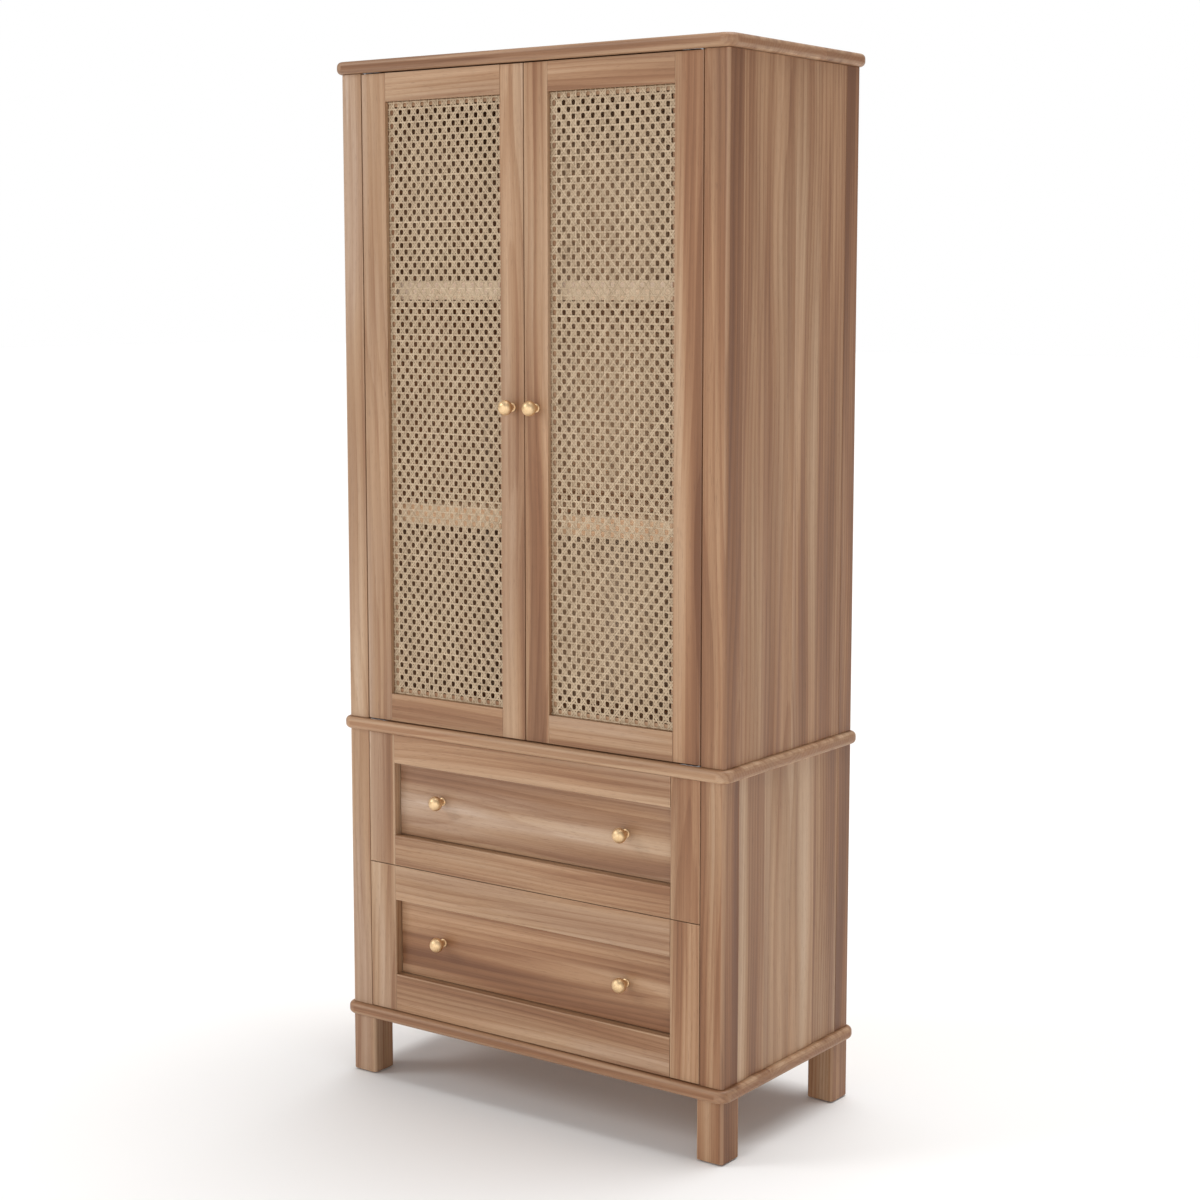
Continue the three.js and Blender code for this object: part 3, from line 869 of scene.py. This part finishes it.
def make_beads(door):
    """Slim beads that hold the cane into its rebate, behind the door."""
    lo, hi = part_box(f"{door}_cane_panel")
    front = hi.y + 0.4 * MM
    back = front + BEAD
    spans = {
        "left": ((lo.x, front, lo.z + BEAD), (lo.x + BEAD, back, hi.z - BEAD), Z, (X, HIGH)),
        "right": ((hi.x - BEAD, front, lo.z + BEAD), (hi.x, back, hi.z - BEAD), Z, (X, LOW)),
        "bottom": ((lo.x, front, lo.z), (hi.x, back, lo.z + BEAD), X, (Z, HIGH)),
        "top": ((lo.x, front, hi.z - BEAD), (hi.x, back, hi.z), X, (Z, LOW)),
    }
    for side, (low, high, along, inner) in spans.items():
        rounds = ((along, (inner, (Y, HIGH)), 6 * MM, 5),)
        name = f"{door}_cane_bead_{side}"
        fitting(name, low, high, door, front_wood, BUTT_EASED, rounds, along)


def knob_profile(radius, projection):
    """A ball knob on a waisted stem with a turned foot."""
    foot = 0.56 * radius
    neck = 0.4 * radius
    profile = [
        (foot * 0.95, 0.0, 0),
        (foot, 0.4 * MM, 0),
        (foot, 1.2 * MM, 0),
        (foot * 0.9, 1.8 * MM, 0),
        (neck * 1.05, 2.2 * MM, 0),
        (neck, 4.0 * MM, 0),
        (neck * 0.94, 7.0 * MM, 0),
    ]
    depth = 0.86 * radius
    centre = projection - depth
    steps = 15
    start = math.asin(min(1.0, neck * 1.05 / radius))
    for step in range(steps):
        angle = math.pi - start - (math.pi - start - 0.03) * step / (steps - 1)
        profile.append((radius * math.sin(angle), centre + depth * math.cos(angle), 0))
    return profile


def make_knob(node):
    """A turned brass knob in place of its plain CAD stand-in."""
    lo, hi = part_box(node)
    radius = (hi.x - lo.x) / 2
    base = ((lo.x + hi.x) / 2, hi.y, (lo.z + hi.z) / 2)
    profile = knob_profile(radius, hi.y - lo.y)
    turned(node + "_brass", profile, base, (0, -1, 0), body_of(node), brass, 48, 0.7, (node,))
    return base


def make_doors():
    """Two framed doors. The hinge stile's outer edge is rounder, so that it clears the post as it turns."""
    for door, hinge_side in (("left_door", LOW), ("right_door", HIGH)):
        swung = ((Z, ((X, hinge_side), (Y, LOW)), PIVOT_EASED, 4),)
        for stile, rounds in (("hinge_stile", swung), ("meeting_stile", ())):
            node = f"{door}_{stile}"
            timber(node, Z, rounds=rounds, bands=DOOR_BANDS[node])
        for rail in ("top_rail", "bottom_rail"):
            timber(f"{door}_{rail}", X, radius=BUTT_EASED)
        make_cane(door)
        make_beads(door)
        base = make_knob(f"{door}_knob")
        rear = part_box(f"{door}_meeting_stile")[1].y
        socket_screw(f"{door}_knob_screw", (base[0], rear, base[2]), (0, 1, 0), door, KNOB_SCREW_RADIUS)


# ----------------------------------------------------------------------------------------------------
# Drawers
# ----------------------------------------------------------------------------------------------------

# The drawers' left stiles are toned lighter than the right ones: partly the wood's own tone, partly painted
# light, brighter to the left as though lit from that side
DRAWER_BANDS = {
    "left": ((0.0, 0.16, -0.2), (0.5, 0.13, -0.1), (0.8, 0.12, -0.1), (1.0, 0.2, 0.0)),
    "right": ((0.0, 0.08, 0.1), (0.22, 0.08, 0.2), (0.32, -0.02, 0.5), (0.7, 0.04, 0.8), (1.0, -0.02, 0.8)),
}


PANEL_TONES = {"upper": (0.09, -0.25), "lower": (-0.04, 0.4)}


def make_drawer_front(drawer):
    """Two full-height stiles with rails between them, round a recessed panel."""
    node = f"{drawer}_drawer_front_frame"
    panel = f"{drawer}_drawer_front_panel"
    lo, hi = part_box(node)
    inner_lo, inner_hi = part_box(panel)
    recess = {"left": inner_lo.x, "right": inner_hi.x, "bottom": inner_lo.z, "top": inner_hi.z}
    members = {
        "stile_left": (lo, (recess["left"], hi.y, hi.z), Z, (Z, ((X, HIGH), (Y, LOW)))),
        "stile_right": ((recess["right"], lo.y, lo.z), hi, Z, (Z, ((X, LOW), (Y, LOW)))),
        "rail_bottom": (
            (recess["left"], lo.y, lo.z), (recess["right"], hi.y, recess["bottom"]),
            X, (X, ((Z, HIGH), (Y, LOW))),
        ),
        "rail_top": (
            (recess["left"], lo.y, recess["top"]), (recess["right"], hi.y, hi.z),
            X, (X, ((Z, LOW), (Y, LOW))),
        ),
    }
    for member, (low, high, along, moulded) in members.items():
        bands = DRAWER_BANDS[member.split("_")[1]] if member.startswith("stile") else PLAIN
        timber(
            node, along, box=(Vector(low), Vector(high)), name=f"{drawer}_drawer_{member}",
            rounds=((*moulded, MOULDED, 4),), radius=EASED if along == Z else BUTT_EASED, bands=bands,
        )
    # The panel floats in a narrow shadow gap, in front of the tongue that holds it in the frame
    face = (
        inner_lo + Vector((SHADOW_GAP, 0, SHADOW_GAP)),
        inner_hi - Vector((SHADOW_GAP, PANEL_TONGUE, SHADOW_GAP)),
    )
    tone, warmth = PANEL_TONES[drawer]
    bands = ((0.0, tone, warmth), (1.0, tone, warmth))
    timber(panel, X, box=face, name=f"{drawer}_drawer_panel_face", radius=BUTT_EASED, bands=bands)
    tongue = (inner_lo + Vector((0, inner_hi.y - inner_lo.y - PANEL_TONGUE, 0)), inner_hi)
    timber(panel, X, box=tongue, name=f"{drawer}_drawer_panel_tongue", radius=0.3 * MM)


def make_drawer_box(drawer):
    """The box behind a drawer front, with the knobs and the screws that hold them."""
    body = body_of(f"{drawer}_drawer_back")
    for part, along in (("side_left", Y), ("side_right", Y), ("back", X)):
        timber(f"{drawer}_drawer_{part}", along, material=inner_wood, slot="inner_wood", radius=1.6 * MM)
    timber(f"{drawer}_drawer_bottom", X, material=inner_wood, slot="inner_wood", radius=BUTT_EASED)
    for side in ("left", "right"):
        base = make_knob(f"{drawer}_drawer_knob_{side}")
        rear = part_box(f"{drawer}_drawer_front_panel")[1].y
        name = f"{drawer}_drawer_knob_screw_{side}"
        socket_screw(name, (base[0], rear, base[2]), (0, 1, 0), body, KNOB_SCREW_RADIUS)


# ----------------------------------------------------------------------------------------------------
# Pivots and catch
# ----------------------------------------------------------------------------------------------------


def make_pivot(level, side):
    """A steel plate let into a board, its two screws, and the shouldered pin that the door turns on."""
    node = f"{level}_pivot_{side}"
    lo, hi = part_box(node)
    way = -1 if side == "left" else 1
    up = 1 if level == "lower" else -1
    board = "waist_board" if level == "lower" else "cornice_board"
    board_lo, board_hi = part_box(board)
    face = board_hi.z if up > 0 else board_lo.z
    heights = sorted((face - 2.0 * MM * up, face + PLATE_RISE * up))
    low, high = (lo.x, lo.y + MM, heights[0]), (hi.x, hi.y - MM, heights[1])
    ends = tuple((Z, ((X, a), (Y, b)), 3 * MM, 4) for a in (LOW, HIGH) for b in (LOW, HIGH))
    fitting(node + "_plate", low, high, "carcass", steel, 0.25 * MM, ends, X, (node,))
    middle_y = (lo.y + hi.y) / 2
    outer_x = hi.x if way > 0 else lo.x
    pin_x = outer_x - way * PIVOT_INSET
    top = face + PLATE_RISE * up
    profile = (
        (PIN_RADIUS * 1.5, -0.5 * MM, 0),
        (PIN_RADIUS * 1.5, 0.55 * MM, 0),
        (PIN_RADIUS * 1.4, 0.65 * MM, 0),
        (PIN_RADIUS, 0.65 * MM, 0),
        (PIN_RADIUS, 7.6 * MM, 0),
        (PIN_RADIUS * 0.7, 8.4 * MM, 0),
    )
    turned(node + "_pin", profile, (pin_x, middle_y, top), (0, 0, up), "carcass", steel, 24)
    for number in (1, 2):
        x = pin_x - way * number * PIVOT_SCREW_SPACING
        name = f"{node}_screw_{number}"
        socket_screw(name, (x, middle_y, top), (0, 0, up), "carcass", PIVOT_SCREW_RADIUS)


def make_catch():
    """A twin magnetic catch under the cornice, and the plates on the doors that meet its magnets."""
    lo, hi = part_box("door_catch")
    fitting(
        "door_catch_case", lo, hi, "carcass", catch_plastic, 1.5 * MM,
        replaced=("door_catch",),
    )
    middle_z = (lo.z + hi.z) / 2
    for side, way in (("left", -1), ("right", 1)):
        x = way * (hi.x - lo.x) / 4
        low = (x - 9 * MM, lo.y - 0.15 * MM, middle_z - 3.5 * MM)
        high = (x + 9 * MM, lo.y + 2 * MM, middle_z + 3.5 * MM)
        fitting(f"door_catch_magnet_{side}", low, high, "carcass", steel, 0.3 * MM)
        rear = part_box(f"{side}_door_meeting_stile")[1].y
        low = (x - 11 * MM, rear - 0.9 * MM, middle_z - 7 * MM)
        high = (x + 11 * MM, rear + 0.1 * MM, middle_z + 3 * MM)
        body = body_of(f"{side}_door_meeting_stile")
        fitting(f"{side}_door_strike_plate", low, high, body, steel, 0.3 * MM)


# ----------------------------------------------------------------------------------------------------
# Stage
# ----------------------------------------------------------------------------------------------------


def sun(name, azimuth, elevation, strength, softness):
    """Even white light from far off. Azimuth 0 is in front of the armoire, and positive is to its right."""
    data = bpy.data.lights.new(name, "SUN")
    data.angle = math.radians(softness)
    data.energy = strength
    lamp = bpy.data.objects.new(name, data)
    around, up = math.radians(azimuth), math.radians(elevation)
    reach = LIGHT_REACH * math.cos(up)
    lamp.location = (reach * math.sin(around), -reach * math.cos(around), LIGHT_REACH * math.sin(up))
    lamp.rotation_euler = (-lamp.location).to_track_quat("-Z", "Y").to_euler()
    bpy.context.scene.collection.objects.link(lamp)


def make_floor():
    """A wide, pale floor whose colour varies very slightly."""
    reach = FLOOR_REACH
    mesh = bpy.data.meshes.new("studio_floor")
    corners = [(-reach, -reach, 0), (reach, -reach, 0), (reach, reach, 0), (-reach, reach, 0)]
    mesh.from_pydata(corners, [], [(0, 1, 2, 3)])
    floor = bpy.data.objects.new("studio_floor", mesh)
    bpy.context.scene.collection.objects.link(floor)
    graph = Graph("studio_floor")
    place = graph.tree.nodes.new("ShaderNodeTexCoord").outputs["Object"]
    cloud = graph.noise(place, (0.7, 0.7, 0.7), 2.0)
    colour = graph.mix(cloud, srgb(245, 244, 243), srgb(248, 247, 246))
    graph.set(Base_Color=colour, Roughness=0.7, Specular_IOR_Level=0.2)
    mesh.materials.append(graph.material)


def make_sky():
    """Even white studio light all round, seen by the camera as a pale backdrop."""
    world = bpy.data.worlds.new("studio")
    world.use_nodes = True
    tree = world.node_tree
    background = tree.nodes["Background"]
    path = tree.nodes.new("ShaderNodeLightPath")
    brightness = tree.nodes.new("ShaderNodeMapRange")
    brightness.inputs["To Min"].default_value = 0.37
    brightness.inputs["To Max"].default_value = 1.0
    tree.links.new(path.outputs["Is Camera Ray"], brightness.inputs["Value"])
    tree.links.new(brightness.outputs["Result"], background.inputs["Strength"])
    background.inputs["Color"].default_value = (1.0, 1.0, 1.0, 1.0)
    bpy.context.scene.world = world


def make_camera():
    """A long lens at standing height, to the right of the front, looking slightly down at the middle."""
    data = bpy.data.cameras.new("camera")
    data.lens = 67.4
    data.sensor_width = 36.0
    data.shift_y = -0.029
    data.clip_end = 200.0
    camera = bpy.data.objects.new("camera", data)
    camera.location = (2.231, -3.064, 1.378)
    pitch, yaw = math.radians(7.0), math.radians(35.88)
    camera.rotation_euler = (math.pi / 2 - pitch, 0.0, yaw)
    bpy.context.scene.collection.objects.link(camera)
    bpy.context.scene.camera = camera


def make_stage():
    make_floor()
    make_sky()
    sun("key", -50.0, 30.0, 0.75, 22.0)
    sun("fill", -8.0, 7.0, 0.5, 24.0)
    sun("glow", 38.0, 8.0, 0.5, 20.0)
    sun("top", 160.0, 76.0, 2.35, 50.0)
    make_camera()
    bpy.context.scene.view_settings.view_transform = "Standard"


make_boards()
make_posts()
make_side_panels()
make_back()
make_shelves()
make_runners()
make_doors()
for drawer_name in ("upper", "lower"):
    make_drawer_front(drawer_name)
    make_drawer_box(drawer_name)
for pivot_level in ("lower", "upper"):
    for pivot_side in ("left", "right"):
        make_pivot(pivot_level, pivot_side)
make_catch()
make_stage()
